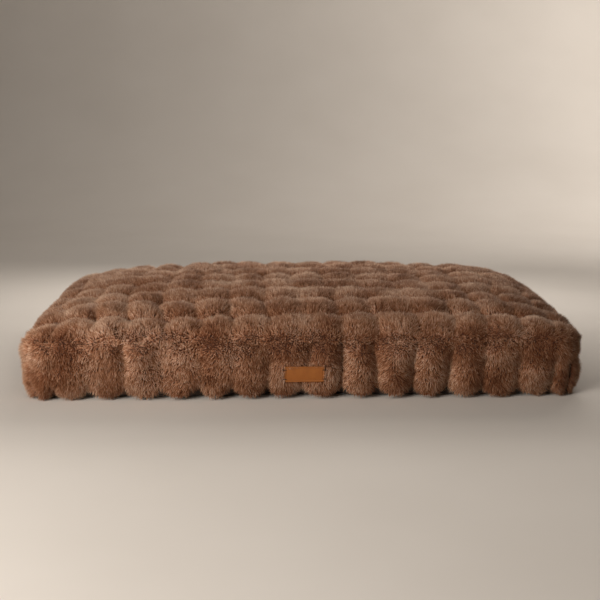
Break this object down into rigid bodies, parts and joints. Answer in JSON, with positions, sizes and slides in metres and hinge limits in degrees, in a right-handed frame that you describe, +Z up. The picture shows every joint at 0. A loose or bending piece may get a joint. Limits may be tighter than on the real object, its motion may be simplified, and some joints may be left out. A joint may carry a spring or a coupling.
{
  "type": "pet cushion bed",
  "caption": "Rectangular pet cushion bed: a zipped, bubble-ruched faux-fur cover with upright borders round a crowned fibre-filled pad, with a leather label on the front.",
  "frame": {"origin": "centre of the bed's outline on the floor", "axes": "+X along the bed's length, +Y from the labelled front to the zip at the back, +Z up"},
  "size_m": [1, 0.7, 0.175],
  "materials": {
    "faux_fur": "short dense taupe-brown pile, ruched into rows of soft bubbles",
    "base_cloth": "woven non-slip cloth with small rubber dots",
    "casing_cloth": "plain matt non-woven",
    "filling": "soft hollow-fibre wadding",
    "zip_tape": "woven herringbone tape",
    "zip_coil": "moulded nylon coil, half gloss",
    "zip_metal": "dark lacquered die-cast metal",
    "label_leather": "smooth tan leatherette",
    "label_thread": "twisted sewing thread",
    "care_satin": "white satin ribbon"
  },
  "bodies": {
    "bed": {"top_panel": "faux_fur", "front_border": "faux_fur", "back_border": "faux_fur", "left_border": "faux_fur", "right_border": "faux_fur", "base_panel": "base_cloth", "casing_lower": "casing_cloth", "casing_upper": "casing_cloth", "fibre_filling": "filling", "zip_tape_lower": "zip_tape", "zip_tape_upper": "zip_tape", "zip_coil_lower": "zip_coil", "zip_coil_upper": "zip_coil", "zip_top_stop_lower": "zip_metal", "zip_top_stop_upper": "zip_metal", "zip_bottom_stop": "zip_metal", "leather_label": "label_leather", "label_tack_left_lower": "label_thread", "label_tack_left_upper": "label_thread", "label_tack_right_lower": "label_thread", "label_tack_right_upper": "label_thread", "care_label": "care_satin"},
    "slider": {"zip_slider": "zip_metal"},
    "puller": {"zip_puller": "zip_metal"}
  },
  "joints": [
    {"name": "zip_slide", "type": "slide", "parent": "bed", "child": "slider", "axis": [1, 0, 0], "range_m": [0, 0.697]},
    {"name": "puller_hinge", "type": "hinge", "parent": "slider", "child": "puller", "pos_m": [-0.3487, 0.3347, 0.0228], "axis": [0, 0, 1], "range_deg": [0, 150]}
  ]
}
